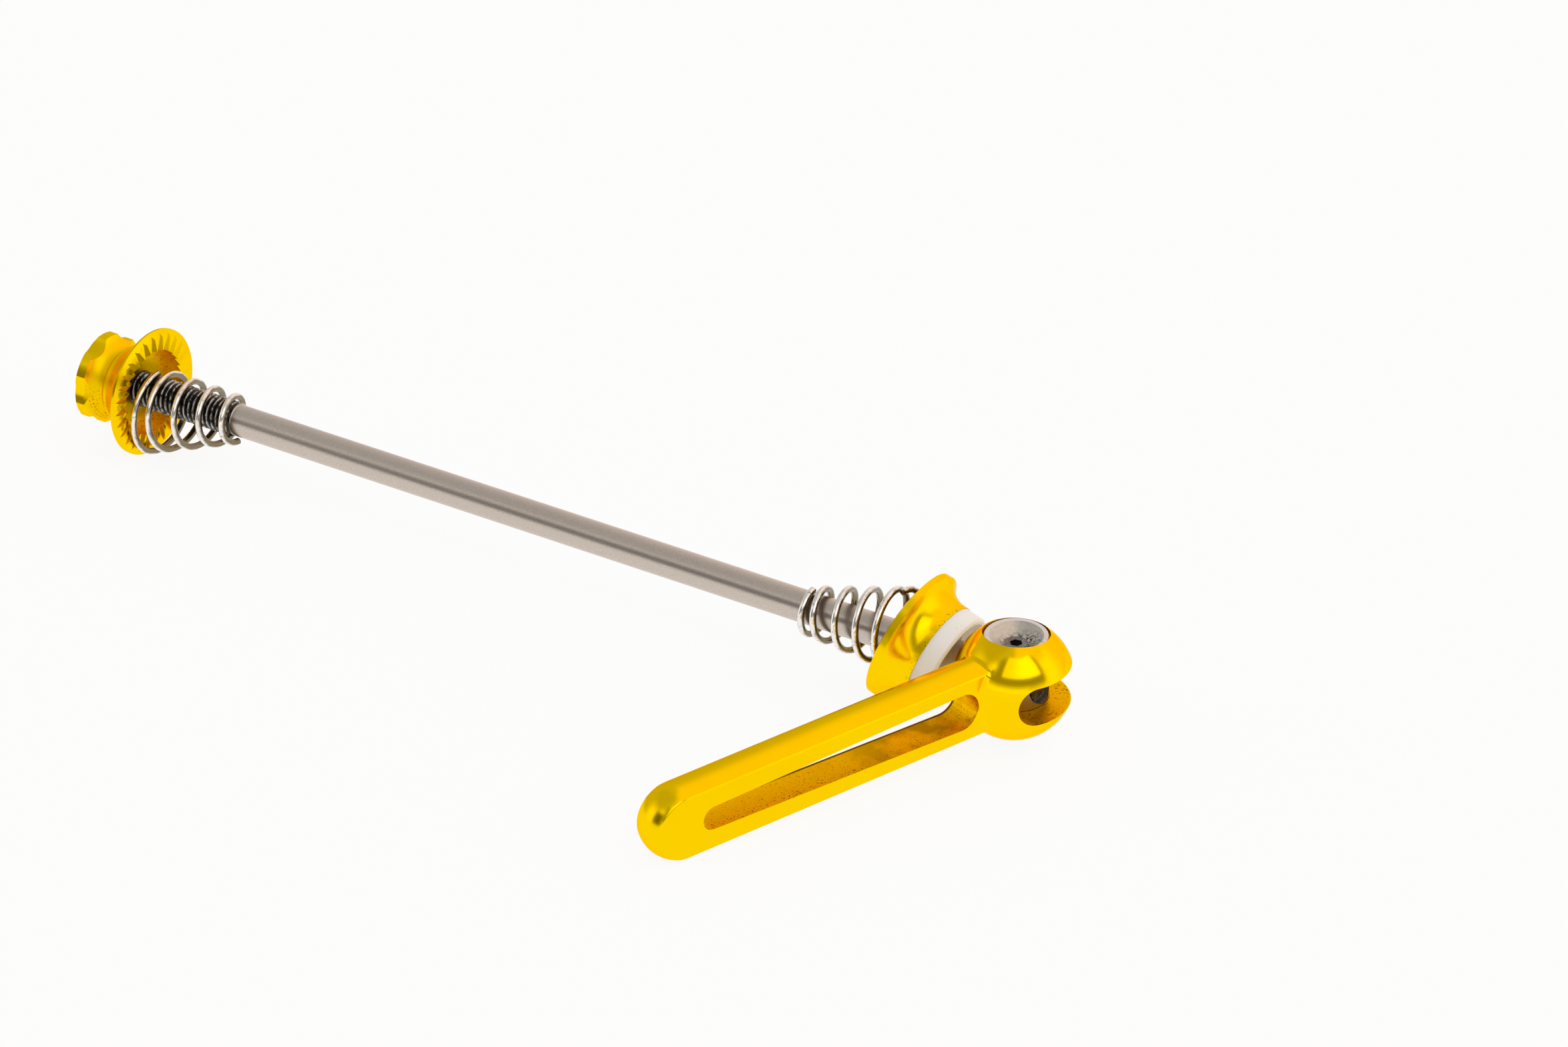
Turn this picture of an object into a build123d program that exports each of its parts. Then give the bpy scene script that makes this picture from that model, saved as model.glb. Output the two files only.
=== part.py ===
from build123d import *
import os
from math import asin, cos, degrees, pi, radians, sin, sqrt

os.makedirs("parts", exist_ok=True)

# A front wheel's quick release skewer, lying on a table with its cam lever swung open.
# The origin is the centre of the nut's clamp face, on the rod's axis. X runs along the rod
# towards the lever and Z is up. Sizes are in millimetres and angles in degrees.

# Rod: a plain bar with rolled threads at both ends
rod_diameter = 4.45
thread_diameter = 5.0
nut_thread_reach = 14.5
lever_thread_length = 9.0
rod_end_chamfer = 0.5
pivot_reach = 140.0
rod_tip_setback = 0.8

# Clamp faces, the same on the nut and on the cap
flange_radius = 9.2
serration_radius = 8.1
serration_count = 28
serration_depth = 0.65
serration_width = 1.5
serration_root = 0.5
serration_run = 10.2
face_bevel = 0.4
recess_radius = 6.15

# Adjusting nut, measured back from its clamp face
nut_recess_depth = 2.4
nut_rim_back = 0.7
flange_hollow = 12
collar_radius = 5.5
collar_front = 4.4
collar_back = 4.9
groove_radius = 5.0
groove_back = 5.5
knob_hollow = 2.5
knob_radius = 6.5
knob_front = 7.7
knob_back = 9.1
knob_end_radius = 5.8
nut_length = 9.6
scallop_count = 6
scallop_radius = 4.2
scallop_depth = 0.85
scallop_turn = 58
lock_ring_radius = 3.6
lock_ring_length = 1.6

# Cap and washer, measured along the cap's own axis from its clamp face
cap_recess_depth = 3.0
cap_rim_back = 1.3
cap_neck_radius = 7.0
cap_neck_start = 4.6
cap_length = 5.3
cap_bore_radius = 2.85
cap_lean = 18
washer_radius = 6.9
washer_length = 2.75
washer_bevel = 0.3
washer_seat_radius = 6.2
washer_bore_radius = 3.95

# Cam lever, in its own frame about the pivot
ball_radius = 8.0
cam_offset_along = 0.6
cam_offset_front = 0.4
fold_angle = 20
lever_length = 60.2
bar_radius = 5.05
bar_thickness = 5.0
bar_edge_radius = 0.4
neck_radius = 1.0
rod_slot_height = 5.5
rod_slot_reach = 5.2
grip_slot_start = 8.5
grip_slot_end = 52.8
grip_slot_start_radius = 2.65
grip_slot_end_radius = 1.67

# Pivot barrel and its lock screw
barrel_radius = 4.4
barrel_length = 12.5
barrel_chamfer = 0.25
dish_radius = 3.6
dish_depth = 1.2
screw_diameter = 3.0
socket_width = 1.5
socket_depth = 1.2

# Springs
wire_radius = 0.48
spring_narrow_radius = 3.08
nut_spring_radius = 5.85
nut_spring_length = 14.5
cap_spring_radius = 5.45
cap_spring_length = 13.6
cap_spring_setback = 0.85
spring_turns = 5
end_winding = 0.26
points_per_turn = 12

# Clearances
thread_clearance = 0.05
bore_clearance = 0.06
seat_clearance = 0.05
spring_clearance = 0.1
mouth_clearance = 0.25
screw_clearance = 0.03
cam_gap = 0.15

rod_radius = rod_diameter / 2
thread_radius = thread_diameter / 2
screw_radius = screw_diameter / 2


def along(axis, distance, origin):
    """The point at a distance along an axis from an origin."""
    return origin + axis * distance


def serration_planes(face):
    """Planes around a clamp face, each looking outward and climbing to where its notch runs out."""
    notch_start = recess_radius - serration_depth
    climb = serration_depth / (serration_run - notch_start)
    planes = []
    for i in range(serration_count):
        turned = Plane(face.location * Rotation(0, 0, 360 * i / serration_count))
        start = along(turned.x_dir, notch_start, turned.origin)
        outward = along(turned.z_dir, climb, turned.x_dir)
        planes.append(Plane(start, x_dir=turned.y_dir, z_dir=outward))
    return planes


def ease(t):
    """A spring's progress from end to end: even turns, with the end coils wound close."""
    return t - end_winding * (sin(2 * pi * t) / pi + sin(4 * pi * t) / (4 * pi))


def coil_point(t, centre, radius):
    """A point of a right-handed coil about X, which starts at its top."""
    turn = 2 * pi * spring_turns * t
    return centre + Vector(0, -radius * sin(turn), radius * cos(turn))


# Rod
nut_end = -(nut_length - rod_tip_setback)
lever_end = pivot_reach + barrel_radius - rod_tip_setback
with BuildPart() as skewer_rod:
    with BuildSketch(Plane.XY):
        with BuildLine():
            Polyline(
                (nut_end, 0),
                (nut_end, thread_radius - rod_end_chamfer),
                (nut_end + rod_end_chamfer, thread_radius),
                (nut_thread_reach, thread_radius),
                (nut_thread_reach + thread_radius - rod_radius, rod_radius),
                (lever_end - lever_thread_length - thread_radius + rod_radius, rod_radius),
                (lever_end - lever_thread_length, thread_radius),
                (lever_end - rod_end_chamfer, thread_radius),
                (lever_end, thread_radius - rod_end_chamfer),
                (lever_end, 0),
                close=True,
            )
        make_face()
    revolve(axis=Axis.X)
skewer_rod.part.label = "skewer_rod"
export_step(skewer_rod.part, "parts/skewer_rod.step")

# Adjusting nut: a serrated flange, a collar and a scalloped knob, with a recess for the spring
nut_bore = thread_radius + thread_clearance
nut_face = Plane.YZ
with BuildPart() as adjusting_nut:
    with BuildSketch(Plane.XY):
        with BuildLine():
            Polyline(
                (-nut_length + lock_ring_length, nut_bore),
                (-nut_recess_depth, nut_bore),
                (-nut_recess_depth, recess_radius),
                (0, recess_radius),
                (0, serration_radius),
                (-face_bevel, flange_radius),
                (-nut_rim_back, flange_radius),
            )
            RadiusArc(
                (-nut_rim_back, flange_radius),
                (-collar_front, collar_radius),
                flange_hollow,
            )
            Polyline(
                (-collar_front, collar_radius),
                (-collar_back, collar_radius),
                (-groove_back, groove_radius),
            )
            RadiusArc(
                (-groove_back, groove_radius),
                (-knob_front, knob_radius),
                knob_hollow,
            )
            Polyline(
                (-knob_front, knob_radius),
                (-knob_back, knob_radius),
                (-nut_length, knob_end_radius),
                (-nut_length, lock_ring_radius),
                (-nut_length + lock_ring_length, lock_ring_radius),
                (-nut_length + lock_ring_length, nut_bore),
            )
        make_face()
    revolve(axis=Axis.X)
    with BuildSketch(*serration_planes(nut_face)):
        Polygon(
            (-serration_width / 2, 0),
            (serration_width / 2, 0),
            (serration_root, -serration_depth),
            align=None,
        )
    extrude(amount=flange_radius, mode=Mode.SUBTRACT)
    with BuildSketch(Plane.YZ.offset(-nut_length)):
        with PolarLocations(knob_radius + scallop_radius - scallop_depth, scallop_count, scallop_turn):
            Circle(scallop_radius)
    extrude(amount=nut_length - groove_back, mode=Mode.SUBTRACT)
adjusting_nut.part.label = "adjusting_nut"
export_step(adjusting_nut.part, "parts/adjusting_nut.step")

# Lock ring in the knob's outer end
with BuildPart() as nut_lock_ring:
    with BuildSketch(Plane.YZ.offset(-nut_length)):
        Circle(lock_ring_radius)
        Circle(nut_bore, mode=Mode.SUBTRACT)
    extrude(amount=lock_ring_length)
nut_lock_ring.part.label = "nut_lock_ring"
export_step(nut_lock_ring.part, "parts/nut_lock_ring.step")

# Cap: a trumpet with a serrated mouth, hanging askew on the bare rod
# The shut lever's ball just clears the washer's upper rim, which sets the cap's place
lean_cos = cos(radians(cap_lean))
lean_sin = sin(radians(cap_lean))
cap_axis = Vector(lean_cos, 0, -lean_sin)
cap_bore_middle = (cap_recess_depth + cap_length) / 2
washer_end = cap_length + washer_length
rim_ahead = washer_end - cap_bore_middle
rim_along = rim_ahead * lean_cos + washer_seat_radius * lean_sin
rim_up = washer_seat_radius * lean_cos - rim_ahead * lean_sin
shut_reach = sqrt((ball_radius + cam_gap) ** 2 - rim_up**2 - cam_offset_along**2)
cap_reach = pivot_reach - cam_offset_front - shut_reach - rim_along
cap_origin = along(cap_axis, -cap_bore_middle, Vector(cap_reach, 0, 0))
cap_profile = Plane(cap_origin, x_dir=cap_axis, z_dir=(0, -1, 0))
cap_face = Plane(cap_origin, x_dir=(0, 1, 0), z_dir=-cap_axis)
with BuildPart() as lever_cap:
    with BuildSketch(cap_profile):
        with BuildLine():
            Polyline(
                (cap_length, cap_neck_radius),
                (cap_length, cap_bore_radius),
                (cap_recess_depth, cap_bore_radius),
                (cap_recess_depth, recess_radius),
                (0, recess_radius),
                (0, serration_radius),
                (face_bevel, flange_radius),
                (cap_rim_back, flange_radius),
            )
            TangentArc(
                (cap_neck_start, cap_neck_radius),
                (cap_rim_back, flange_radius),
                tangent=(-1, 0),
            )
            Line((cap_neck_start, cap_neck_radius), (cap_length, cap_neck_radius))
        make_face()
    revolve(axis=Axis(cap_origin, cap_axis))
    with BuildSketch(*serration_planes(cap_face)):
        Polygon(
            (-serration_width / 2, 0),
            (serration_width / 2, 0),
            (serration_root, -serration_depth),
            align=None,
        )
    extrude(amount=flange_radius, mode=Mode.SUBTRACT)
lever_cap.part.label = "lever_cap"
export_step(lever_cap.part, "parts/lever_cap.step")

# Washer: a plastic ring behind the cap, hollowed to the ball's shape
seat_radius = ball_radius + seat_clearance
seat_centre = washer_end + sqrt(seat_radius**2 - washer_seat_radius**2)
seat_floor = seat_centre - sqrt(seat_radius**2 - washer_bore_radius**2)
with BuildPart() as cam_washer:
    with BuildSketch(cap_profile):
        with BuildLine():
            Polyline(
                (seat_floor, washer_bore_radius),
                (cap_length, washer_bore_radius),
                (cap_length, washer_radius),
                (washer_end - washer_bevel, washer_radius),
                (washer_end, washer_radius - washer_bevel),
                (washer_end, washer_seat_radius),
            )
            RadiusArc(
                (washer_end, washer_seat_radius),
                (seat_floor, washer_bore_radius),
                -seat_radius,
            )
        make_face()
    revolve(axis=Axis(cap_origin, cap_axis))
cam_washer.part.label = "cam_washer"
export_step(cam_washer.part, "parts/cam_washer.step")

# Lever frame: X along the lever, Y out of its front flat, Z along the pivot
tip_reach = (lever_length - bar_radius) * cos(radians(fold_angle))
lever_roll = degrees(asin((flange_radius - bar_radius) / tip_reach))
pivot = Vector(pivot_reach, 0, 0)
pivot_axis = Vector(0, -sin(radians(lever_roll)), cos(radians(lever_roll)))
lever_axis = Vector(0, -1, 0).rotate(Axis.Z, -fold_angle).rotate(Axis.X, lever_roll)
lever_top = Plane(pivot, x_dir=lever_axis, z_dir=pivot_axis)
lever_side = Plane(pivot, x_dir=lever_axis, z_dir=-lever_top.y_dir)

# Cam lever: a turned ball and bar with milled flats, a grip slot, and a slot for the rod
blank_origin = along(lever_top.y_dir, cam_offset_front, pivot)
blank = Plane(blank_origin, x_dir=lever_axis, z_dir=pivot_axis)
ball_centre = along(lever_axis, cam_offset_along, blank_origin)
turning_axis = Axis(blank_origin, lever_axis)
slot_radius = rod_slot_height / 2
with BuildPart() as cam_lever:
    with BuildSketch(blank):
        with BuildLine():
            Line((cam_offset_along, 0), (cam_offset_along, bar_radius))
            Line((cam_offset_along, bar_radius), (lever_length - bar_radius, bar_radius))
            TangentArc((lever_length - bar_radius, bar_radius), (lever_length, 0), tangent=(1, 0))
            Line((lever_length, 0), (cam_offset_along, 0))
        make_face()
    revolve(axis=turning_axis)
    with BuildSketch(blank):
        for side in (1, -1):
            with Locations((lever_length / 2, side * (bar_thickness / 2 + bar_radius))):
                Rectangle(2 * lever_length, 2 * bar_radius)
    extrude(amount=ball_radius, both=True, mode=Mode.SUBTRACT)
    fillet(cam_lever.edges().filter_by(turning_axis), bar_edge_radius)
    with Locations(Plane(ball_centre)):
        Sphere(ball_radius)
    ball_edges = cam_lever.edges(Select.NEW).filter_by(GeomType.LINE, reverse=True)
    fillet(ball_edges.sort_by(turning_axis)[1:], neck_radius)
    with BuildSketch(lever_top):
        Circle(barrel_radius + bore_clearance)
    extrude(amount=2 * ball_radius, both=True, mode=Mode.SUBTRACT)
    with BuildSketch(lever_side):
        with Locations((rod_slot_reach - slot_radius, 0)):
            Circle(slot_radius)
        with Locations((rod_slot_reach - slot_radius - ball_radius, 0)):
            Rectangle(2 * ball_radius, rod_slot_height)
    extrude(amount=2 * ball_radius, both=True, mode=Mode.SUBTRACT)
    with BuildSketch(lever_side):
        with Locations((grip_slot_start + grip_slot_start_radius, 0)):
            Circle(grip_slot_start_radius)
        with Locations((grip_slot_end - grip_slot_end_radius, 0)):
            Circle(grip_slot_end_radius)
        make_hull()
    extrude(amount=2 * ball_radius, both=True, mode=Mode.SUBTRACT)
cam_lever.part.label = "cam_lever"
export_step(cam_lever.part, "parts/cam_lever.step")

# Pivot barrel: a cross dowel with dished ends, screwed onto the rod
rod_bore = thread_radius + thread_clearance
with BuildPart() as pivot_barrel:
    with BuildSketch(lever_side):
        with BuildLine():
            Polyline(
                (0, 0),
                (0, barrel_length / 2 - dish_depth),
                (screw_radius + screw_clearance, barrel_length / 2 - dish_depth),
                (dish_radius, barrel_length / 2),
                (barrel_radius - barrel_chamfer, barrel_length / 2),
                (barrel_radius, barrel_length / 2 - barrel_chamfer),
                (barrel_radius, 0),
                close=True,
            )
        make_face()
        mirror(about=Plane.XZ)
    revolve(axis=Axis(pivot, pivot_axis))
    with BuildSketch(Plane.YZ.offset(pivot_reach)):
        Circle(rod_bore)
    extrude(amount=2 * barrel_radius, both=True, mode=Mode.SUBTRACT)
    with BuildSketch(lever_top):
        Circle(screw_radius + screw_clearance)
    extrude(amount=barrel_length, mode=Mode.SUBTRACT)
pivot_barrel.part.label = "pivot_barrel"
export_step(pivot_barrel.part, "parts/pivot_barrel.step")

# Lock screw: a socket set screw in the barrel's dished top, down on the rod's thread
screw_top = barrel_length / 2 - dish_depth
with BuildPart() as barrel_lock_screw:
    with BuildSketch(lever_top.offset(thread_radius)):
        Circle(screw_radius)
    extrude(amount=screw_top - thread_radius)
    with BuildSketch(lever_top.offset(screw_top)):
        RegularPolygon(socket_width / 2, 6, major_radius=False)
    extrude(amount=-socket_depth, mode=Mode.SUBTRACT)
barrel_lock_screw.part.label = "barrel_lock_screw"
export_step(barrel_lock_screw.part, "parts/barrel_lock_screw.step")

# Nut spring: a conical coil that hangs on the thread in front of the nut
spring_points = points_per_turn * spring_turns
nut_coil = []
for i in range(spring_points + 1):
    progress = ease(i / spring_points)
    radius = nut_spring_radius + (spring_narrow_radius - nut_spring_radius) * progress
    place = wire_radius + spring_clearance + nut_spring_length * progress
    sag = radius - wire_radius - thread_radius - spring_clearance
    nut_coil.append(coil_point(i / spring_points, Vector(place, 0, -sag), radius))
with BuildPart() as nut_spring:
    with BuildLine() as nut_wire:
        Spline(*nut_coil)
    with BuildSketch(Plane(nut_wire.line @ 0, z_dir=nut_wire.line % 0)):
        Circle(wire_radius)
    sweep(is_frenet=True)
nut_spring.part.label = "nut_spring"
export_step(nut_spring.part, "parts/nut_spring.step")

# Cap spring: its narrow end hangs on the rod and its wide end rests in the leaning cap's mouth
spring_sag = spring_narrow_radius - wire_radius - rod_radius - spring_clearance
spring_wall = recess_radius - wire_radius - mouth_clearance
spring_drop = (spring_wall - cap_spring_setback * lean_sin) / lean_cos
spring_rise = cap_origin.Z + cap_spring_radius - spring_drop
spring_seat = Vector(cap_origin.X - cap_spring_setback, 0, spring_rise)
spring_start = Vector(spring_seat.X - cap_spring_length, 0, -spring_sag)
cap_coil = []
for i in range(spring_points + 1):
    progress = ease(i / spring_points)
    radius = spring_narrow_radius + (cap_spring_radius - spring_narrow_radius) * progress
    centre = spring_start + (spring_seat - spring_start) * progress
    cap_coil.append(coil_point(i / spring_points, centre, radius))
with BuildPart() as cap_spring:
    with BuildLine() as cap_wire:
        Spline(*cap_coil)
    with BuildSketch(Plane(cap_wire.line @ 0, z_dir=cap_wire.line % 0)):
        Circle(wire_radius)
    sweep(is_frenet=True)
cap_spring.part.label = "cap_spring"
export_step(cap_spring.part, "parts/cap_spring.step")
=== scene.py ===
import math

import bmesh
import bpy
import numpy as np
from mathutils import Euler, Matrix, Vector


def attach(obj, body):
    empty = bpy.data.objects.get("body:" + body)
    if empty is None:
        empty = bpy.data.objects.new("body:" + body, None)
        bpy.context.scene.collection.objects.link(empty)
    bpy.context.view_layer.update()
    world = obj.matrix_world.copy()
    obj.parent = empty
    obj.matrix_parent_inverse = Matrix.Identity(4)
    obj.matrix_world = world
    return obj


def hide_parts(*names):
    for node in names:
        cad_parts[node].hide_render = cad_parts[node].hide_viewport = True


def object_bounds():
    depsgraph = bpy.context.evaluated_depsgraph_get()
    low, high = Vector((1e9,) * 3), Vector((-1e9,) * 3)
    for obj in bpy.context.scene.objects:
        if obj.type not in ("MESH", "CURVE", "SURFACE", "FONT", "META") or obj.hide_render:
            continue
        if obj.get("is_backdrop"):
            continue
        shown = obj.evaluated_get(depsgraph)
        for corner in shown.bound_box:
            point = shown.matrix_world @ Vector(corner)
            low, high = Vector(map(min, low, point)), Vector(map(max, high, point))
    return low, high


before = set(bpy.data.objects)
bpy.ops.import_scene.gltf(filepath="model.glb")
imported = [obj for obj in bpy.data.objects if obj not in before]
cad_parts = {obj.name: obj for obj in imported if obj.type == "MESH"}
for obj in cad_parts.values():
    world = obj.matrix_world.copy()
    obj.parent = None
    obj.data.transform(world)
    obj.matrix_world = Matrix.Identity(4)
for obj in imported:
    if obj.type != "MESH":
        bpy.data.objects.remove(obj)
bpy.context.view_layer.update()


# Skewer rod
# A bare titanium rod with a thread rolled on each end, so the crests stand over the rod.
# Oil and dust have gone black in the threads, and handling keeps the crests bright.
MM = 0.001
ROD_RADIUS = 2.225
THREAD_CREST = 2.5
THREAD_ROOT = 2.02
THREAD_PITCH = 0.8
THREAD_STEEPNESS = 1.35
THREAD_ROOT_FLAT = 0.17
ROD_NUT_END = -8.8
NUT_THREAD_END = 14.775
RUN_OUT = 0.4
LEVER_THREAD_START = 134.5
ROD_LEVER_END = 143.6
END_CHAMFER = 0.5
THREAD_STEP = 0.08
BARE_MARGIN = 0.5
BARE_STATIONS = 60
ROD_SIDES = 48
SEAM_WELD = 1e-7
LOFT_CREASE = math.radians(50)
CREST_SPAN = (THREAD_CREST - 0.28, THREAD_CREST - 0.04)
NUT_THREAD_SPAN = (NUT_THREAD_END, NUT_THREAD_END - RUN_OUT)
LEVER_THREAD_SPAN = (LEVER_THREAD_START, LEVER_THREAD_START + RUN_OUT)
METAL = 1.0
TITANIUM_ROUGHNESS = 0.30
TITANIUM_GRAIN = 0.000006
TITANIUM_DARK = (0.49, 0.425, 0.365, 1)
TITANIUM_LIGHT = (0.695, 0.60, 0.52, 1)
THREAD_DIRT = (0.040, 0.036, 0.032, 1)
CREST_RUBBED = (0.50, 0.47, 0.43, 1)


def smooth_step(low, high, value):
    """Rises from 0 at low to 1 at high as 3 t^2 - 2 t^3."""
    t = np.clip((value - low) / (high - low), 0.0, 1.0)
    return t * t * (3 - 2 * t)


def rod_skin(stations, around):
    """The rod's skin: at distance x along the axis and turn a about it the radius is the thread's,
    root + (crest - root) * h(x / pitch - a / turn), where h is a flattened triangle wave, fading
    to the bare rod's radius where a thread runs out. The two end rows close on the axis."""
    x = stations[:, None]
    turn = np.linspace(0, 2 * np.pi, around, endpoint=False)[None, :]
    wave = np.abs(2 * np.mod(x / THREAD_PITCH - turn / (2 * np.pi), 1.0) - 1)
    crest = np.clip(THREAD_STEEPNESS * wave - THREAD_ROOT_FLAT, 0, 1)
    thread = THREAD_ROOT + (THREAD_CREST - THREAD_ROOT) * crest
    bare = smooth_step(NUT_THREAD_END - RUN_OUT, NUT_THREAD_END, x)
    bare = bare * (1 - smooth_step(LEVER_THREAD_START, LEVER_THREAD_START + RUN_OUT, x))
    radius = thread + (ROD_RADIUS - thread) * bare
    from_end = np.minimum(x - ROD_NUT_END, ROD_LEVER_END - x)
    radius = np.minimum(radius, THREAD_CREST - END_CHAMFER + from_end)
    radius[0], radius[-1] = 0, 0
    grid = np.stack([x + 0 * turn, radius * np.cos(turn), radius * np.sin(turn)], axis=-1)
    return grid * MM


def loft(name, grid, shares=None):
    """A mesh through a grid of points: each row is a closed loop, the rows follow one another
    along the piece, and rows that have shrunk to a point are merged to close the ends. Each of
    the shares is a number for every point, kept as an attribute for the finish."""
    rows, around = grid.shape[:2]
    i = np.arange(rows - 1)[:, None] * around
    j = np.arange(around)[None, :]
    k = (j + 1) % around
    quads = np.stack([i + j, i + k, i + around + k, i + around + j], axis=-1).reshape(-1, 4)
    mesh = bpy.data.meshes.new(name)
    mesh.from_pydata(grid.reshape(-1, 3).tolist(), [], quads.tolist())
    for key, share in (shares or {}).items():
        values = mesh.attributes.new(key, "FLOAT", "POINT").data
        values.foreach_set("value", share.astype(np.float32).ravel())
    shell = bmesh.new()
    shell.from_mesh(mesh)
    bmesh.ops.remove_doubles(shell, verts=shell.verts, dist=SEAM_WELD)
    bmesh.ops.recalc_face_normals(shell, faces=shell.faces)
    shell.to_mesh(mesh)
    shell.free()
    mesh.shade_smooth()
    mesh.set_sharp_from_angle(angle=LOFT_CREASE)
    piece = bpy.data.objects.new(name, mesh)
    bpy.context.scene.collection.objects.link(piece)
    return piece


def add(tree, kind, inputs, **settings):
    """A new node: its inputs, by name or number, are values or sockets to link from."""
    made = tree.nodes.new(kind)
    for key, value in settings.items():
        setattr(made, key, value)
    for key, value in inputs.items():
        if isinstance(value, bpy.types.NodeSocket):
            tree.links.new(value, made.inputs[key])
        else:
            made.inputs[key].default_value = value
    return made


def calc(tree, operation, a, b=0.0, c=0.0):
    """One step of arithmetic on sockets or numbers."""
    return add(tree, "ShaderNodeMath", {0: a, 1: b, 2: c}, operation=operation).outputs[0]


def both(tree, *shares):
    """The product of several shares: 1 only where all of them are."""
    product = shares[0]
    for share in shares[1:]:
        product = calc(tree, "MULTIPLY", product, share)
    return product


def either(tree, *shares):
    """The largest of several shares."""
    largest = shares[0]
    for share in shares[1:]:
        largest = calc(tree, "MAXIMUM", largest, share)
    return largest


def between(tree, value, low, high):
    """0 up to low, 1 from high and a smooth change between them. Low may be the larger one."""
    inputs = {"Value": value, "From Min": low, "From Max": high}
    return add(tree, "ShaderNodeMapRange", inputs, interpolation_type="SMOOTHSTEP").outputs[0]


def across_span(tree, reach, span):
    """How far a reach, in metres, has crossed a span: 0 at its first mark and 1 at its second,
    both in millimetres."""
    return between(tree, reach, span[0] * MM, span[1] * MM)


def blend_colours(tree, share, first, second):
    """The first colour where share is 0, the second where it is 1."""
    inputs = {0: share, 6: first, 7: second}
    return add(tree, "ShaderNodeMix", inputs, data_type="RGBA").outputs[2]


def mottle(tree, place, scale, detail=2.0):
    """Even noise about 0.5, with patches about 1 / scale metres across."""
    inputs = {"Vector": place, "Scale": scale, "Detail": detail}
    return add(tree, "ShaderNodeTexNoise", inputs).outputs[0]


def patchy(tree, place, scale, low, high, detail=2.0):
    """Patches of noise: 0 where it is under low and 1 where it is over high."""
    return between(tree, mottle(tree, place, scale, detail), low, high)


def split(tree, place):
    """The three numbers of a place or a direction."""
    return add(tree, "ShaderNodeSeparateXYZ", {0: place}).outputs


def from_axis(tree, a, b):
    """How far a place lies from an axis, when it lies a and b from it in two directions at right
    angles: sqrt(a^2 + b^2)."""
    squares = calc(tree, "ADD", calc(tree, "POWER", a, 2), calc(tree, "POWER", b, 2))
    return calc(tree, "SQRT", squares)


def new_finish(name, metallic, roughness):
    """A material with its shader and the place on the piece that its pattern reads."""
    material = bpy.data.materials.new(name)
    material.use_nodes = True
    tree = material.node_tree
    shader = tree.nodes["Principled BSDF"]
    shader.inputs["Metallic"].default_value = metallic
    shader.inputs["Roughness"].default_value = roughness
    place = add(tree, "ShaderNodeTexCoord", {}).outputs["Object"]
    return material, tree, shader, place


def paint(tree, shader, colour):
    """Gives the shader its colour."""
    tree.links.new(colour, shader.inputs["Base Color"])


def roughen(tree, shader, height, depth):
    """Gives the shader a bumpy skin: height runs from 0 to 1 over a depth in metres."""
    bump = add(tree, "ShaderNodeBump", {"Height": height, "Distance": depth, "Strength": 1.0})
    tree.links.new(bump.outputs[0], shader.inputs["Normal"])


titanium, tree, shader, place = new_finish("titanium", METAL, TITANIUM_ROUGHNESS)
x, y, z = split(tree, place)
crest = across_span(tree, from_axis(tree, y, z), CREST_SPAN)
threaded = either(
    tree,
    across_span(tree, x, NUT_THREAD_SPAN),
    across_span(tree, x, LEVER_THREAD_SPAN),
)
grain = mottle(tree, place, scale=9500, detail=3)
bare = blend_colours(tree, between(tree, grain, low=0.3, high=0.7), TITANIUM_DARK, TITANIUM_LIGHT)
rubbed = both(tree, crest, patchy(tree, place, scale=1400, low=0.35, high=0.6, detail=3))
rolled = blend_colours(tree, rubbed, THREAD_DIRT, CREST_RUBBED)
paint(tree, shader, blend_colours(tree, threaded, bare, rolled))
roughen(tree, shader, grain, TITANIUM_GRAIN)

bare_start = NUT_THREAD_END + BARE_MARGIN
bare_end = LEVER_THREAD_START - BARE_MARGIN
stations = np.concatenate([
    [ROD_NUT_END],
    np.arange(ROD_NUT_END, NUT_THREAD_END + RUN_OUT, THREAD_STEP),
    np.linspace(bare_start, bare_end, BARE_STATIONS),
    np.arange(LEVER_THREAD_START - RUN_OUT, ROD_LEVER_END, THREAD_STEP),
    [ROD_LEVER_END, ROD_LEVER_END],
])
rod = loft("rod_with_threads", rod_skin(stations, ROD_SIDES))
rod.data.materials.append(titanium)
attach(rod, "rod")
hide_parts("skewer_rod")


# Nut spring
# A cone of bright nickel plated spring wire. Its wide end stands against the nut, and slack
# as it is, it hangs from the top of the thread.
WIRE_RADIUS = 0.48
WIRE_SIDES = 20
SPRING_NARROW = 3.08
SPRING_TURNS = 5
SPRING_GAP = 0.1
END_WINDING = 0.26
NUT_SPRING_WIDE = 5.85
NUT_SPRING_LENGTH = 14.5
NUT_SPRING_CUT = 0.9
NUT_SPRING_ROWS = 361
NICKEL_ROUGHNESS = 0.12
NICKEL_GRAIN = 0.000006
NICKEL_BRIGHT = (0.88, 0.83, 0.78, 1)
NICKEL_INNER_SHADE = (0.23, 0.18, 0.11, 1)
NICKEL_PIT = (0.10, 0.075, 0.04, 1)
INNER_SHADE_SPREAD = 0.5
PIT_SHARE = 0.6


def eased(t):
    """The share of the spring's length wound by t, with close turns at both ends:
    t - w (sin(2 pi t) / pi + sin(4 pi t) / (4 pi)), where w is the end winding."""
    return t - END_WINDING * (np.sin(2 * np.pi * t) / np.pi + np.sin(4 * np.pi * t) / (4 * np.pi))


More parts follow.
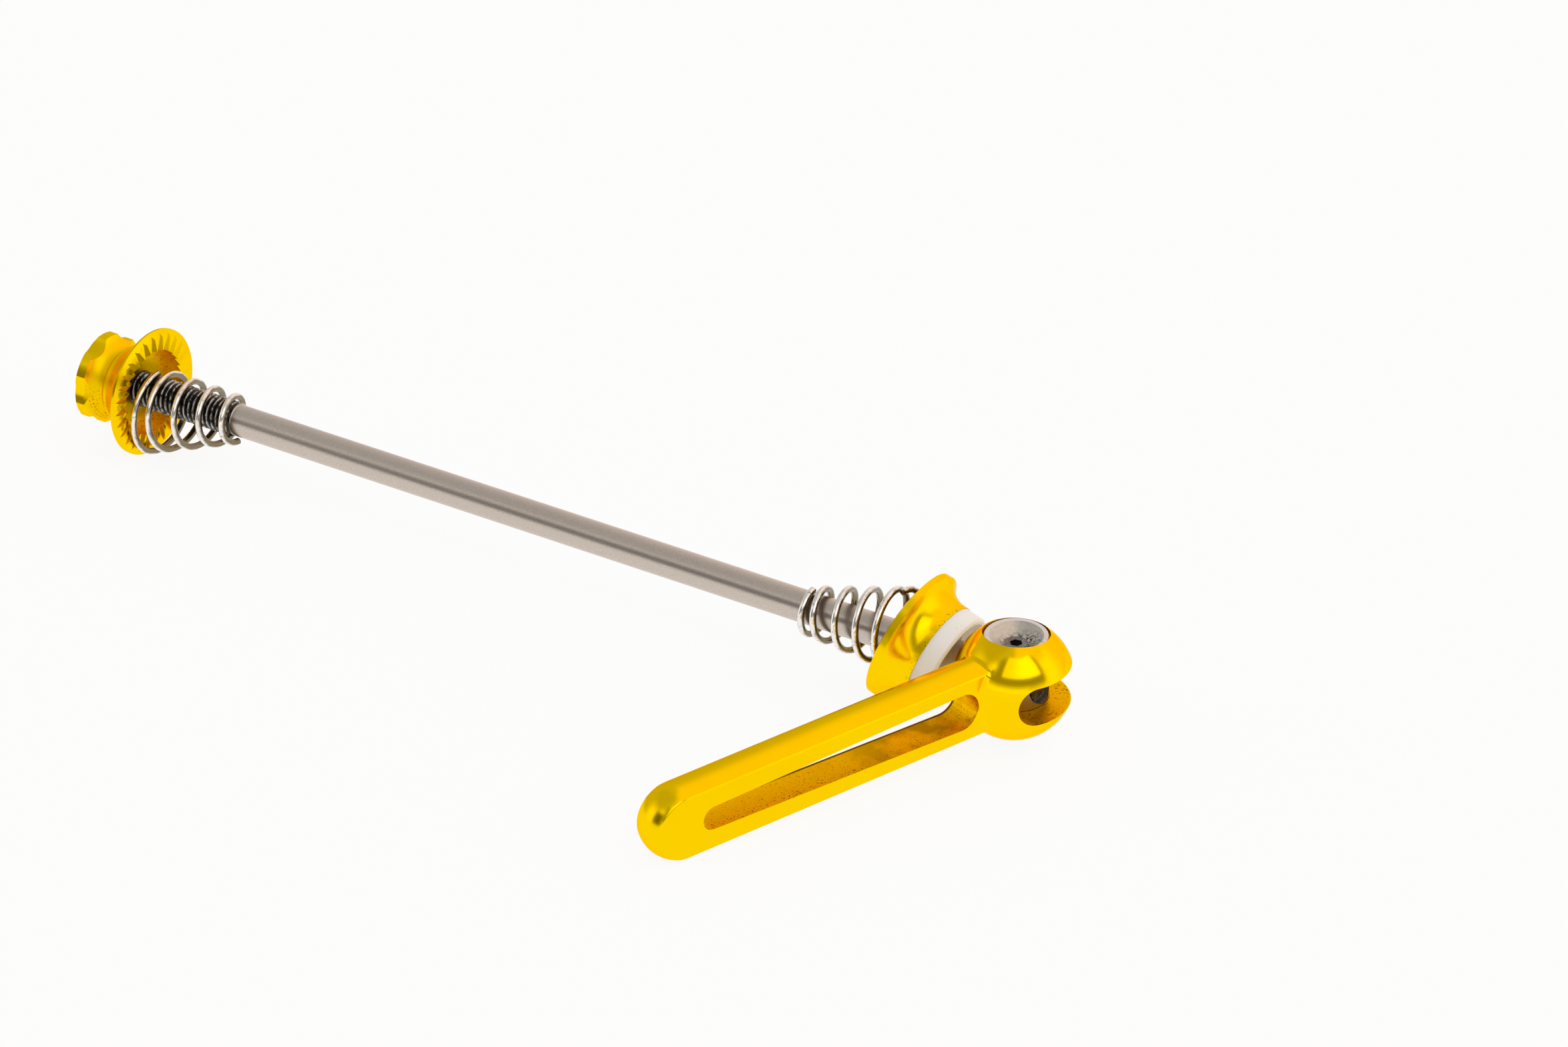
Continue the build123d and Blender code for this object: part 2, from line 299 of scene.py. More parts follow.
def wire(name, centre, radius, t):
    """A round wire wound on a cone: at t the coil has turned 2 pi n t about its centre line, from
    its top and right handed. The first and last rows repeat their neighbours' place and close the
    wire's cut faces. The attribute "inside" runs from 0 on the outside of the coil to 1 inside."""
    turn = 2 * np.pi * SPRING_TURNS * t
    outward = np.stack([0 * t, -np.sin(turn), np.cos(turn)], axis=-1)
    path = centre + outward * radius[:, None]
    ahead = np.gradient(path, axis=0)
    ahead[[0, -1]] = ahead[[1, -2]]
    ahead = ahead / np.linalg.norm(ahead, axis=1, keepdims=True)
    side = np.cross(ahead, outward)
    side = side / np.linalg.norm(side, axis=1, keepdims=True)
    out = np.cross(side, ahead)
    angle = np.linspace(-np.pi, np.pi, WIRE_SIDES, endpoint=False)
    cosine, sine = np.cos(angle)[None, :, None], np.sin(angle)[None, :, None]
    ring = cosine * out[:, None] + sine * side[:, None]
    thick = np.full(len(t), WIRE_RADIUS)
    thick[[0, -1]] = 0
    inside = np.tile((1 - np.cos(angle)) / 2, (len(t), 1))
    inside[[0, -1]] = 0
    return loft(name, (path[:, None] + ring * thick[:, None, None]) * MM, {"inside": inside})


nickel, tree, shader, place = new_finish("nickel_wire", METAL, NICKEL_ROUGHNESS)
inside = add(tree, "ShaderNodeAttribute", {}, attribute_name="inside").outputs["Fac"]
cloud = mottle(tree, place, scale=700)
# Painted shade: the inside of the coil is darkened unevenly towards a dull brown, standing in for
# the shade and dark reflections there.
uneven = calc(tree, "MULTIPLY_ADD", cloud, INNER_SHADE_SPREAD, -INNER_SHADE_SPREAD / 2)
inner_shade = between(tree, calc(tree, "ADD", inside, uneven), low=0.04, high=0.32)
plated_and_shaded = blend_colours(tree, inner_shade, NICKEL_BRIGHT, NICKEL_INNER_SHADE)
pits = patchy(tree, place, scale=1900, low=0.62, high=0.72, detail=3)
paint(tree, shader, blend_colours(tree, both(tree, pits, PIT_SHARE), plated_and_shaded, NICKEL_PIT))
roughen(tree, shader, mottle(tree, place, scale=1500), NICKEL_GRAIN)

t = np.concatenate([[0], np.linspace(0, NUT_SPRING_CUT, NUT_SPRING_ROWS), [NUT_SPRING_CUT]])
radius = NUT_SPRING_WIDE + (SPRING_NARROW - NUT_SPRING_WIDE) * eased(t)
sag = radius - WIRE_RADIUS - THREAD_CREST - SPRING_GAP
reach = WIRE_RADIUS + SPRING_GAP + NUT_SPRING_LENGTH * eased(t)
nut_coil = wire("nut_coil", np.stack([reach, 0 * t, -sag], axis=-1), radius, t)
nut_coil.data.materials.append(nickel)
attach(nut_coil, "nut_coil")
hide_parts("nut_spring")


# Adjusting nut
# Turned from aluminium bar, serrated, scalloped for the fingers and anodised gold, with a
# nylon ring pressed into its outer end. Specks of grime have settled in its recess, in its neck
# and along the walls of its serrations, and these hollows carry painted shade: a deeper amber,
# and dark laid deep in the recess and on the walls.
FLANGE_RADIUS = 9.2
RECESS_RADIUS = 6.15
NUT_RECESS_DEPTH = 2.4
NOTCH_DEPTH = 0.65
NOTCH_FADE = 0.2
NECK_FRONT = -4.2
NECK_BACK = -7.9
TURNING_PITCH = 0.3
NODE_WELD = 1e-6
NODE_CREASE = math.radians(28)
RECESS_SPAN = (RECESS_RADIUS + 0.1, RECESS_RADIUS - 0.1)
RECESS_FLOOR_SPAN = (-NUT_RECESS_DEPTH - 0.2, -NUT_RECESS_DEPTH + 0.1)
RECESS_MIDDLE_SPAN = (5.4, 3.4)
NUT_NOTCH_SPAN = (-NOTCH_DEPTH - NOTCH_FADE, -NOTCH_DEPTH)
NECK_FRONT_SPAN = (NECK_FRONT + 0.6, NECK_FRONT)
NECK_BACK_SPAN = (NECK_BACK - 0.2, NECK_BACK)
NECK_RADIUS_SPAN = (6.3, 5.6)
NECK_LOW_SPAN = (2.5, -2.0)
WALL_FACING = (0.55, 0.8)
MILLED_FACING = (0.12, 0.35)
GOLD_LIGHT = (1.0, 0.655, 0.0, 1)
GOLD_DEEP = (1.0, 0.625, 0.0, 1)
GOLD_GLINT = (1.0, 0.78, 0.25, 1)
GOLD_SCUFFS = 0.0000018
AMBER_SHADE = (1.0, 0.43, 0.0, 1)
GRIME_AND_SHADE = (0.035, 0.018, 0.002, 1)
SPECK_FADE = 0.15
NUT_POLISHED = 0.22
NUT_MILLED = 0.45
NUT_NECK_DULLED = 0.8
TURNING_AMBER = 0.24
TURNING_SWING = 0.22
NUT_WALL_AMBER = 0.5
NUT_NECK_AMBER = 0.15
NUT_SPECKS = 0.66
NUT_WALL_DUST = 0.3
NUT_NECK_DUST = 0.9
NUT_DUST = 0.1
NUT_WALL_SHADE = 0.05
NUT_RECESS_SHADE = 0.6
NOT_METAL = 0.0
NYLON_ROUGHNESS = 0.5
NYLON_DARK = (0.02, 0.02, 0.022, 1)
NYLON_LIGHT = (0.045, 0.045, 0.05, 1)


def vector_calc(tree, operation, a, b=(0, 0, 0)):
    """One step of arithmetic on two places or directions."""
    made = add(tree, "ShaderNodeVectorMath", {0: a, 1: b}, operation=operation)
    return made.outputs["Value" if operation in ("DOT_PRODUCT", "DISTANCE") else "Vector"]


def gold_finish(name, roughness):
    """Gold anodised aluminium: a saturated metal that is a little deeper in patches and has fine
    scuffs. Returns what the piece needs to lay its own painted shade and grime over the clean
    colour."""
    material, tree, shader, place = new_finish(name, METAL, roughness)
    patches = patchy(tree, place, scale=90, low=0.35, high=0.7)
    clean = blend_colours(tree, patches, GOLD_LIGHT, GOLD_DEEP)
    shader.inputs["Specular Tint"].default_value = GOLD_GLINT
    roughen(tree, shader, mottle(tree, place, scale=2600, detail=3), GOLD_SCUFFS)
    return material, tree, shader, place, clean


def dull_hollow(tree, shader, share, polished, milled):
    """Leaves the shader's roughness polished where share is 0 and milled where it is 1."""
    inputs = {"Value": share, "To Min": polished, "To Max": milled}
    tree.links.new(add(tree, "ShaderNodeMapRange", inputs).outputs[0], shader.inputs["Roughness"])


def speckled(tree, place, coverage):
    """Dark specks a few tenths of a millimetre across, thicker where a broad noise is high."""
    fine = patchy(tree, place, scale=4000, low=0.56, high=0.68, detail=4)
    sparse = 1 - coverage
    return both(tree, fine, patchy(tree, place, scale=320, low=sparse, high=sparse + SPECK_FADE))


def facing_round(tree, place, origin, axis):
    """How squarely a face looks along the way round an axis, 0 to 1: high on a notch's wall."""
    moved = vector_calc(tree, "SUBTRACT", place, Vector(origin) * MM)
    way = vector_calc(tree, "CROSS_PRODUCT", Vector(axis), moved)
    way = vector_calc(tree, "NORMALIZE", way)
    looks = add(tree, "ShaderNodeTexCoord", {}).outputs["Normal"]
    return calc(tree, "ABSOLUTE", vector_calc(tree, "DOT_PRODUCT", looks, way))


def ripples(tree, reach, pitch):
    """Tool marks: the sine of a reach in metres, with one wave to a pitch in millimetres."""
    return calc(tree, "SINE", calc(tree, "MULTIPLY", reach, 2 * math.pi / (pitch * MM)))


def lay_shade_and_grime(tree, shader, clean, amber, dark):
    """Painted amber shade where light is lost in a hollow, and dark over it, from specks of grime
    and from painted shade.
    """
    shaded = blend_colours(tree, amber, clean, AMBER_SHADE)
    paint(tree, shader, blend_colours(tree, dark, shaded, GRIME_AND_SHADE))


def smooth_skin(name, node, material, body):
    """Stands in for a turned or milled node: a copy of its faces, joined, with normals weighted by
    area so that flats stay flat and round faces are smooth, and creased only at real edges."""
    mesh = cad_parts[node].data.copy()
    mesh.name = name
    if "custom_normal" in mesh.attributes:
        mesh.attributes.remove(mesh.attributes["custom_normal"])
    shell = bmesh.new()
    shell.from_mesh(mesh)
    bmesh.ops.remove_doubles(shell, verts=shell.verts, dist=NODE_WELD)
    shell.to_mesh(mesh)
    shell.free()
    mesh.shade_smooth()
    mesh.set_sharp_from_angle(angle=NODE_CREASE)
    mesh.materials.clear()
    mesh.materials.append(material)
    piece = bpy.data.objects.new(name, mesh)
    bpy.context.scene.collection.objects.link(piece)
    even = piece.modifiers.new("even_normals", "WEIGHTED_NORMAL")
    even.keep_sharp = True
    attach(piece, body)
    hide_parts(node)


gold_nut, tree, shader, place, clean = gold_finish("gold_nut", NUT_POLISHED)
x, y, z = split(tree, place)
distance = from_axis(tree, y, z)
recess = both(
    tree,
    across_span(tree, distance, RECESS_SPAN),
    across_span(tree, x, RECESS_FLOOR_SPAN),
)
deep = both(tree, recess, across_span(tree, distance, RECESS_MIDDLE_SPAN))
sideways = facing_round(tree, place, (0, 0, 0), (1, 0, 0))
notches = across_span(tree, x, NUT_NOTCH_SPAN)
walls = both(tree, between(tree, sideways, *WALL_FACING), notches)
milled = both(tree, between(tree, sideways, *MILLED_FACING), notches)
neck = both(
    tree,
    across_span(tree, x, NECK_FRONT_SPAN),
    across_span(tree, x, NECK_BACK_SPAN),
    across_span(tree, distance, NECK_RADIUS_SPAN),
)
# Painted shade: the recess, in rings that follow its turning marks, the serration walls and the
# neck are tinted amber.
cuts = calc(
    tree, "MULTIPLY_ADD", ripples(tree, distance, TURNING_PITCH), TURNING_SWING, TURNING_AMBER
)
amber = either(
    tree,
    both(tree, recess, cuts),
    both(tree, walls, NUT_WALL_AMBER),
    both(tree, neck, NUT_NECK_AMBER),
)
dulled = either(tree, recess, both(tree, neck, NUT_NECK_DULLED), milled)
dull_hollow(tree, shader, dulled, NUT_POLISHED, NUT_MILLED)
dusty = either(
    tree,
    recess,
    both(tree, walls, NUT_WALL_DUST),
    both(tree, neck, across_span(tree, z, NECK_LOW_SPAN), NUT_NECK_DUST),
    NUT_DUST,
)
# Painted shade: a dark layer deep in the recess around the thread, and a thin one on the serration
# walls.
dark_layer = either(tree, both(tree, walls, NUT_WALL_SHADE), both(tree, deep, NUT_RECESS_SHADE))
specks_and_shade = either(tree, both(tree, speckled(tree, place, NUT_SPECKS), dusty), dark_layer)
lay_shade_and_grime(tree, shader, clean, amber, specks_and_shade)
smooth_skin("nut_skin", "adjusting_nut", gold_nut, "nut")


def wear(node, material):
    """Puts one material on a piece of the frame."""
    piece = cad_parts[node]
    piece.data.materials.clear()
    piece.data.materials.append(material)


lock_nylon, tree, shader, place = new_finish("lock_nylon", NOT_METAL, NYLON_ROUGHNESS)
cloud = mottle(tree, place, scale=900)
paint(tree, shader, blend_colours(tree, cloud, NYLON_DARK, NYLON_LIGHT))
wear("nut_lock_ring", lock_nylon)


# Cap spring
# The same cone of wire the other way round: its narrow end hangs on the rod and its wide end
# rests in the leaning cap's mouth.
CAP_LEAN = math.radians(18)
CAP_AXIS = np.array([math.cos(CAP_LEAN), 0, -math.sin(CAP_LEAN)])
CAP_ROCK_CENTRE = np.array([127.3377, 0, 0])
CAP_ROCK_DEPTH = 4.15
CAP_ORIGIN = CAP_ROCK_CENTRE - CAP_ROCK_DEPTH * CAP_AXIS
CAP_SPRING_WIDE = 5.45
CAP_SPRING_LENGTH = 13.6
CAP_SPRING_SETBACK = 0.85
CAP_SPRING_ROWS = 401
MOUTH_GAP = 0.25
wall = RECESS_RADIUS - WIRE_RADIUS - MOUTH_GAP
drop = (wall - CAP_SPRING_SETBACK * math.sin(CAP_LEAN)) / math.cos(CAP_LEAN)
seat = np.array([
    CAP_ORIGIN[0] - CAP_SPRING_SETBACK,
    0,
    CAP_ORIGIN[2] + CAP_SPRING_WIDE - drop,
])
start = np.array([
    seat[0] - CAP_SPRING_LENGTH,
    0,
    WIRE_RADIUS + ROD_RADIUS + SPRING_GAP - SPRING_NARROW,
])
t = np.concatenate([[0], np.linspace(0, 1, CAP_SPRING_ROWS), [1]])
radius = SPRING_NARROW + (CAP_SPRING_WIDE - SPRING_NARROW) * eased(t)
cap_coil = wire("cap_coil", start + (seat - start) * eased(t)[:, None], radius, t)
cap_coil.data.materials.append(nickel)
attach(cap_coil, "cap_coil")
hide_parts("cap_spring")


# Lever cap
# A turned trumpet of the same gold aluminium, serrated like the nut. Its mouth faces the nut,
# and a dark line of grime shows where the washer meets its neck.
CAP_ROUGHNESS = 0.20
CAP_NOTCH_SPAN = (NOTCH_DEPTH + NOTCH_FADE, NOTCH_DEPTH)
SEAM_SPAN = (4.4, 5.25)
CAP_SPECKS = 0.72
CAP_SEAM_DUST = 0.9
CAP_DUST = 0.05
CAP_WALL_SHADE = 0.4
CAP_WALL_AMBER = 0.7


def reach_along(tree, place, origin, axis):
    """How far a place lies along an axis from an origin, in metres."""
    moved = vector_calc(tree, "SUBTRACT", place, Vector(origin) * MM)
    return vector_calc(tree, "DOT_PRODUCT", moved, Vector(axis))


gold_cap, tree, shader, place, clean = gold_finish("gold_cap", CAP_ROUGHNESS)
depth = reach_along(tree, place, CAP_ORIGIN, CAP_AXIS)
sideways = facing_round(tree, place, CAP_ORIGIN, CAP_AXIS)
notches = across_span(tree, depth, CAP_NOTCH_SPAN)
walls = both(tree, between(tree, sideways, *WALL_FACING), notches)
seam = across_span(tree, depth, SEAM_SPAN)
dusty = either(tree, walls, both(tree, seam, CAP_SEAM_DUST), CAP_DUST)
# Painted shade: the serration walls get a dark layer here and an amber tint below, standing in for
# shade.
dark_layer = both(tree, walls, CAP_WALL_SHADE)
specks_and_shade = either(tree, both(tree, speckled(tree, place, CAP_SPECKS), dusty), dark_layer)
lay_shade_and_grime(tree, shader, clean, both(tree, walls, CAP_WALL_AMBER), specks_and_shade)
smooth_skin("cap_skin", "lever_cap", gold_cap, "cap")


# Cam washer
# A milky plastic ring that the ball turns on, moulded and pushed into the cap's end. Light
# soaks into it, its low side is painted a tan tint of light bounced from the gold, and it is
# scuffed where the ball rubs.
MILKY_ROUGHNESS = 0.34
MILKY_DULL = (0.95, 0.91, 0.84, 1)
MILKY_WHITE = (0.98, 0.96, 0.92, 1)
MILKY_BOUNCE_TINT = (0.86, 0.70, 0.52, 1)
BOUNCE_TINT_SPAN = (3.0, -5.0)
BOUNCE_TINT_SHARE = 0.75
SCUFF = (0.30, 0.25, 0.20, 1)
SCUFF_COVERAGE = 0.36
SCUFF_SHARE = 0.45
SOAK_WEIGHT = 0.35
SOAK_RADIUS = (1.0, 0.85, 0.65)
SOAK_DEPTH = 0.0015

milky, tree, shader, place = new_finish("milky_plastic", NOT_METAL, MILKY_ROUGHNESS)
cloud = blend_colours(tree, mottle(tree, place, scale=260), MILKY_DULL, MILKY_WHITE)
# Painted reflection: the low side is tinted tan for light bounced onto it from the gold parts.
low_side = across_span(tree, split(tree, place)[2], BOUNCE_TINT_SPAN)
cloud = blend_colours(tree, both(tree, low_side, BOUNCE_TINT_SHARE), cloud, MILKY_BOUNCE_TINT)
scuffs = both(tree, speckled(tree, place, SCUFF_COVERAGE), SCUFF_SHARE)
paint(tree, shader, blend_colours(tree, scuffs, cloud, SCUFF))
shader.inputs["Subsurface Weight"].default_value = SOAK_WEIGHT
shader.inputs["Subsurface Radius"].default_value = SOAK_RADIUS
shader.inputs["Subsurface Scale"].default_value = SOAK_DEPTH
smooth_skin("washer_skin", "cam_washer", milky, "cap")


# Pivot barrel and its lock screw
# A turned steel cross dowel with dished ends. Oil and dust have gathered round the small
# socket screw that locks it to the rod.
LEVER_ROLL = math.radians(4.593087)
LEVER_FOLD = math.radians(20)
PIVOT = np.array([140.0, 0, 0])
PIVOT_AXIS = np.array([0, -math.sin(LEVER_ROLL), math.cos(LEVER_ROLL)])
LEVER_AXIS = np.array([
    -math.sin(LEVER_FOLD),
    -math.cos(LEVER_FOLD) * math.cos(LEVER_ROLL),
    -math.cos(LEVER_FOLD) * math.sin(LEVER_ROLL),
])
LEVER_FRONT = np.cross(PIVOT_AXIS, LEVER_AXIS)
DISH_RADIUS = 3.6
DISH_SPAN = (DISH_RADIUS + 0.05, DISH_RADIUS - 0.1)
OIL_SPAN = (3.3, 1.3)
OIL_DRIFT = 0.35
SIDE_SHADE_SPAN = (4.22, 4.36)
RING_PITCH = 0.16
RING_DEPTH = 0.000004
STEEL_ROUGHNESS = 0.32
STEEL_GREY = (0.74, 0.69, 0.66, 1)
STEEL_BRIGHT = (0.84, 0.79, 0.77, 1)
DISH_DARK = (0.46, 0.42, 0.36, 1)
DISH_LIGHT = (0.70, 0.65, 0.57, 1)
SIDE_SHADE = (0.26, 0.20, 0.13, 1)
BLACK_OIL = (0.030, 0.022, 0.016, 1)
SCREW_ROUGHNESS = 0.35
SCREW_OILED = (0.05, 0.042, 0.036, 1)
SCREW_STEEL = (0.36, 0.35, 0.33, 1)

turned_steel, tree, shader, place = new_finish("turned_steel", METAL, STEEL_ROUGHNESS)
along = reach_along(tree, place, PIVOT, LEVER_AXIS)
across = reach_along(tree, place, PIVOT, LEVER_FRONT)
distance = from_axis(tree, along, across)
bright = blend_colours(tree, mottle(tree, place, scale=700), STEEL_GREY, STEEL_BRIGHT)
dull = blend_colours(tree, mottle(tree, place, scale=2200, detail=3), DISH_DARK, DISH_LIGHT)
steel = blend_colours(tree, across_span(tree, distance, DISH_SPAN), bright, dull)
# Painted shade: the barrel's side, seen in the dark gap round its rim, is painted dark brown.
steel = blend_colours(tree, across_span(tree, distance, SIDE_SHADE_SPAN), steel, SIDE_SHADE)
drifted = calc(tree, "SUBTRACT", distance, both(tree, across, OIL_DRIFT))
oil = across_span(tree, drifted, OIL_SPAN)
dark_layer = both(tree, oil, patchy(tree, place, scale=2900, low=0.46, high=0.58, detail=5))
paint(tree, shader, blend_colours(tree, dark_layer, steel, BLACK_OIL))
rings = calc(tree, "MULTIPLY_ADD", ripples(tree, distance, RING_PITCH), 0.5, 0.5)
roughen(tree, shader, rings, RING_DEPTH)
smooth_skin("barrel_skin", "pivot_barrel", turned_steel, "rod")

oily_steel, tree, shader, place = new_finish("oily_steel", METAL, SCREW_ROUGHNESS)
cloud = mottle(tree, place, scale=1500, detail=3)
paint(tree, shader, blend_colours(tree, cloud, SCREW_OILED, SCREW_STEEL))
wear("barrel_lock_screw", oily_steel)


# Cam lever
# A ball and bar turned in one piece, milled flat on two sides and slotted, then anodised gold.
# The milled walls in its slots and its mouth carry painted shade, a deeper amber along the cutter
# marks and a dark line at the slot's back edge, with dark specks and brown stains over them.
CAM_ALONG = 0.6
CAM_FRONT = 0.4
BAR_MIDDLE = PIVOT + LEVER_FRONT * CAM_FRONT
BALL = BAR_MIDDLE + LEVER_AXIS * CAM_ALONG
BALL_RADIUS = 8.0
BAR_HALF = 2.5
SLOT_HALF = 2.65
SLOT_START = 8.5
SLOT_END = 52.8
CUTTER_PITCH = 0.34
GRIP_DEPTH_SPAN = (BAR_HALF - 0.02, BAR_HALF - 0.08)
GRIP_HEIGHT_SPAN = (SLOT_HALF + 0.15, SLOT_HALF + 0.05)
GRIP_START_SPAN = (SLOT_START - 0.4, SLOT_START - 0.1)
GRIP_END_SPAN = (SLOT_END + 0.4, SLOT_END + 0.1)
BACK_EDGE_SPAN = (-2.0, -2.25)
FRONT_EDGE_SPAN = (0.2, 1.8)
MOUTH_SPAN = (BALL_RADIUS - 0.05, BALL_RADIUS - 0.2)
MOUTH_END_SPAN = (7.4, 7.0)
BAR_SPAN = (9.0, 13.0)
BITE_SPAN = (32.0, 14.0)
STAIN_SPAN = (36.0, 16.0)
LEVER_POLISHED = 0.13
LEVER_MILLED = 0.42
BAR_DULLED = 0.3
CUTTER_AMBER = 0.5
BITE_LEAST = 0.12
BITE_MORE = 0.2
LEVER_SPECKS = 0.76
HOLLOW_DUST = 0.45
FRONT_EDGE_DUST = 0.95
MOUTH_DUST = 0.9
BACK_EDGE_SHADE = 0.9
STAIN_SHARE = 0.45

gold_lever, tree, shader, place, clean = gold_finish("gold_lever", LEVER_POLISHED)
along = reach_along(tree, place, PIVOT, LEVER_AXIS)
front = reach_along(tree, place, BAR_MIDDLE, LEVER_FRONT)
high = reach_along(tree, place, PIVOT, PIVOT_AXIS)
to_ball = vector_calc(tree, "DISTANCE", place, Vector(BALL) * MM)
grip = both(
    tree,
    across_span(tree, calc(tree, "ABSOLUTE", front), GRIP_DEPTH_SPAN),
    across_span(tree, calc(tree, "ABSOLUTE", high), GRIP_HEIGHT_SPAN),
    across_span(tree, along, GRIP_START_SPAN),
    across_span(tree, along, GRIP_END_SPAN),
)
mouth = both(
    tree,
    across_span(tree, to_ball, MOUTH_SPAN),
    across_span(tree, along, MOUTH_END_SPAN),
)
hollow = either(tree, grip, mouth)
# Painted shade: the slots and the mouth are tinted amber, in bands along the cutter marks.
bite = calc(tree, "MULTIPLY_ADD", across_span(tree, along, BITE_SPAN), BITE_MORE, BITE_LEAST)
marks = calc(tree, "MULTIPLY_ADD", ripples(tree, along, CUTTER_PITCH), bite, CUTTER_AMBER)
dulled = either(tree, hollow, both(tree, across_span(tree, along, BAR_SPAN), BAR_DULLED))
dull_hollow(tree, shader, dulled, LEVER_POLISHED, LEVER_MILLED)
dusty = either(
    tree,
    both(tree, hollow, HOLLOW_DUST),
    both(tree, grip, across_span(tree, front, FRONT_EDGE_SPAN), FRONT_EDGE_DUST),
    both(tree, mouth, MOUTH_DUST),
)
blotches = patchy(tree, place, scale=240, low=0.42, high=0.62, detail=3)
# Painted shade: a dark line along the slot's back edge; the blotches further along are brown
# stains.
dark_layer = either(
    tree,
    both(tree, grip, across_span(tree, front, BACK_EDGE_SPAN), BACK_EDGE_SHADE),
    both(tree, grip, across_span(tree, along, STAIN_SPAN), blotches, STAIN_SHARE),
)
specks_and_shade = either(tree, both(tree, speckled(tree, place, LEVER_SPECKS), dusty), dark_layer)
lay_shade_and_grime(tree, shader, clean, both(tree, hollow, marks), specks_and_shade)
smooth_skin("lever_skin", "cam_lever", gold_lever, "lever")


# Studio
# A white table, on which the nut's flange rests, in a tent of white cloth. A soft box hangs
# over the camera in a dim frame, with a dark doorway and a dim side wall to its left, and the
# back wall and the ceiling are grey, and warmer to the right.
CAMERA_AZIMUTH = math.radians(30.9006)
CAMERA_ELEVATION = math.radians(26.5804)
CAMERA_ROLL = math.radians(2.8721)
CAMERA_PLACE = (0.4633658, -0.6005383, 0.3612796)
CAMERA_LENS = 136.5364
CAMERA_SENSOR = 36
camera_data = bpy.data.cameras.new("camera")
camera_data.sensor_width = CAMERA_SENSOR
camera_data.lens = CAMERA_LENS
camera = bpy.data.objects.new("camera", camera_data)
aim = Euler((math.pi / 2 - CAMERA_ELEVATION, 0, CAMERA_AZIMUTH)).to_matrix()
spin = Matrix.Rotation(CAMERA_ROLL, 3, "Z")
camera.matrix_world = Matrix.Translation(CAMERA_PLACE) @ (aim @ spin).to_4x4()
bpy.context.scene.collection.objects.link(camera)
bpy.context.scene.camera = camera

FLOOR = -FLANGE_RADIUS * MM
FLOOR_HALF = 3
FLOOR_GLOW = 0.9
PAPER_ROUGHNESS = 0.9
PAPER = (0.99, 0.99, 0.99, 1)
WHITE = (1.0, 1.0, 1.0, 1)
corners = [(-1, -1), (1, -1), (1, 1), (-1, 1)]
corners = [(x * FLOOR_HALF, y * FLOOR_HALF, FLOOR) for x, y in corners]
table_mesh = bpy.data.meshes.new("table")
table_mesh.from_pydata(corners, [], [(0, 1, 2, 3)])
table = bpy.data.objects.new("table", table_mesh)
bpy.context.scene.collection.objects.link(table)
paper, tree, shader, place = new_finish("table_paper", NOT_METAL, PAPER_ROUGHNESS)
shader.inputs["Base Color"].default_value = PAPER
shader.inputs["Specular IOR Level"].default_value = 0.0
ray = add(tree, "ShaderNodeLightPath", {}).outputs
mirrored = either(tree, ray["Is Glossy Ray"], ray["Is Transmission Ray"])
seen = either(tree, both(tree, ray["Is Camera Ray"], FLOOR_GLOW), mirrored)
glow = add(tree, "ShaderNodeEmission", {"Color": WHITE, "Strength": 1.0}).outputs[0]
lit = add(tree, "ShaderNodeMixShader", {0: seen, 1: shader.outputs[0], 2: glow})
tree.links.new(lit.outputs[0], tree.nodes["Material Output"].inputs["Surface"])
table_mesh.materials.append(paper)
table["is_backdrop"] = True

TENT_STRENGTH = 1.2
SHADED_COOL = (0.52, 0.515, 0.51, 1)
SHADED_WARM = (0.84, 0.725, 0.65, 1)
SIDE_WALL = (0.45, 0.45, 0.45, 1)
DOORWAY = (0.09, 0.09, 0.09, 1)
LAMP_FRAME = (0.27, 0.27, 0.27, 1)
LAMP_LEFT = (0.9, 0.9, 0.9, 1)
LAMP_RIGHT = (1.25, 1.25, 1.25, 1)
LAMP_RISE = (math.radians(-20), math.radians(25))


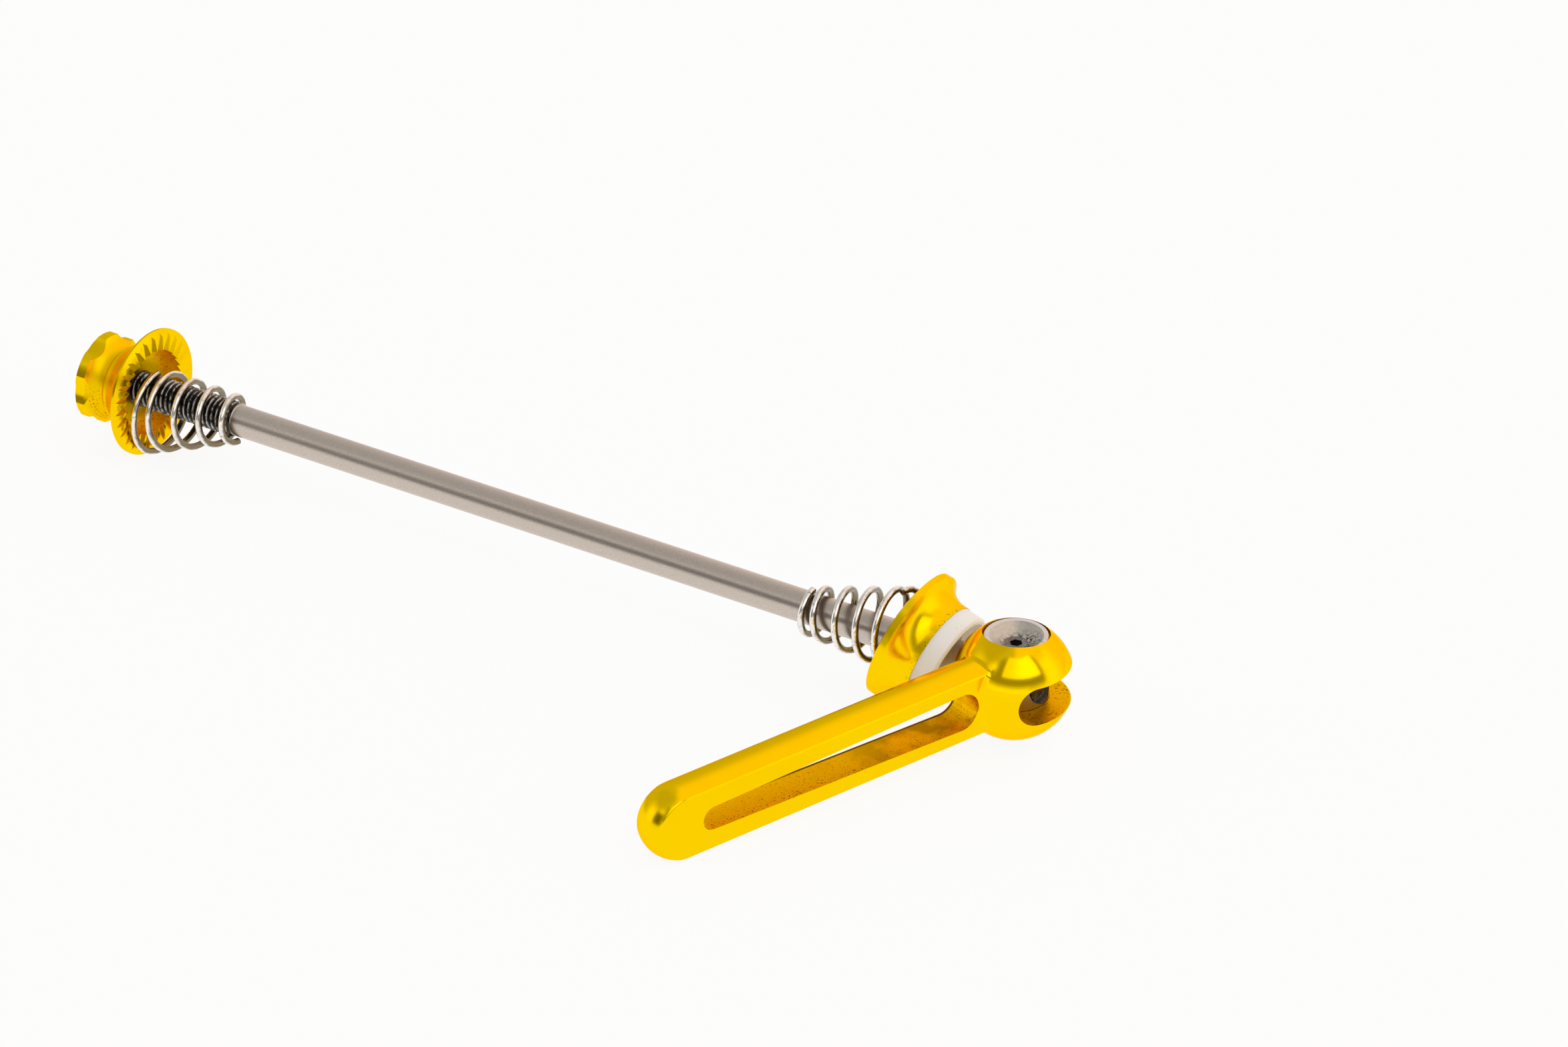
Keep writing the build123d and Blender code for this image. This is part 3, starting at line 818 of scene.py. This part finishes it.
def patch(tree, turn, height, left, right, low, high, soft):
    """1 inside a patch of the tent, in degrees round from the camera and up from the table."""
    edges = [(turn, left - soft, left + soft), (turn, right + soft, right - soft)]
    edges += [(height, low - soft, low + soft), (height, high + soft, high - soft)]
    return both(tree, *[between(tree, v, math.radians(a), math.radians(b)) for v, a, b in edges])


tent = bpy.data.worlds.new("tent")
tent.use_nodes = True
bpy.context.scene.world = tent
tree = tent.node_tree
facing = add(tree, "ShaderNodeTexCoord", {}).outputs["Generated"]
rightward = Vector((math.cos(CAMERA_AZIMUTH), math.sin(CAMERA_AZIMUTH), 0))
nearer = Vector((math.sin(CAMERA_AZIMUTH), -math.cos(CAMERA_AZIMUTH), 0))
right = vector_calc(tree, "DOT_PRODUCT", facing, rightward)
near = vector_calc(tree, "DOT_PRODUCT", facing, nearer)
up = split(tree, facing)[2]
turn = calc(tree, "ARCTAN2", right, near)
height = calc(tree, "ARCSINE", up)
back_wall = between(tree, near, low=0.1, high=-0.5)
ceiling = between(tree, up, low=0.6, high=0.8)
warm = between(tree, right, low=-0.12, high=0.08)
side_wall = patch(tree, turn, height, left=-150, right=-62, low=33, high=100, soft=12)
doorway = patch(tree, turn, height, left=-73, right=-45, low=0, high=33, soft=4)
lamp_frame = patch(tree, turn, height, left=-46, right=65, low=10, high=60, soft=8)
lamp = patch(tree, turn, height, left=-28, right=57, low=27, high=66, soft=2.5)
lamp_glow = blend_colours(tree, between(tree, turn, *LAMP_RISE), LAMP_LEFT, LAMP_RIGHT)
shaded = blend_colours(tree, warm, SHADED_COOL, SHADED_WARM)
cloth = blend_colours(tree, either(tree, back_wall, ceiling), WHITE, shaded)
cloth = blend_colours(tree, side_wall, cloth, SIDE_WALL)
cloth = blend_colours(tree, doorway, cloth, DOORWAY)
cloth = blend_colours(tree, lamp_frame, cloth, LAMP_FRAME)
cloth = blend_colours(tree, lamp, cloth, lamp_glow)
tree.nodes["Background"].inputs["Strength"].default_value = TENT_STRENGTH
tree.links.new(cloth, tree.nodes["Background"].inputs["Color"])

bpy.context.scene.view_settings.view_transform = "Standard"
low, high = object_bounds()
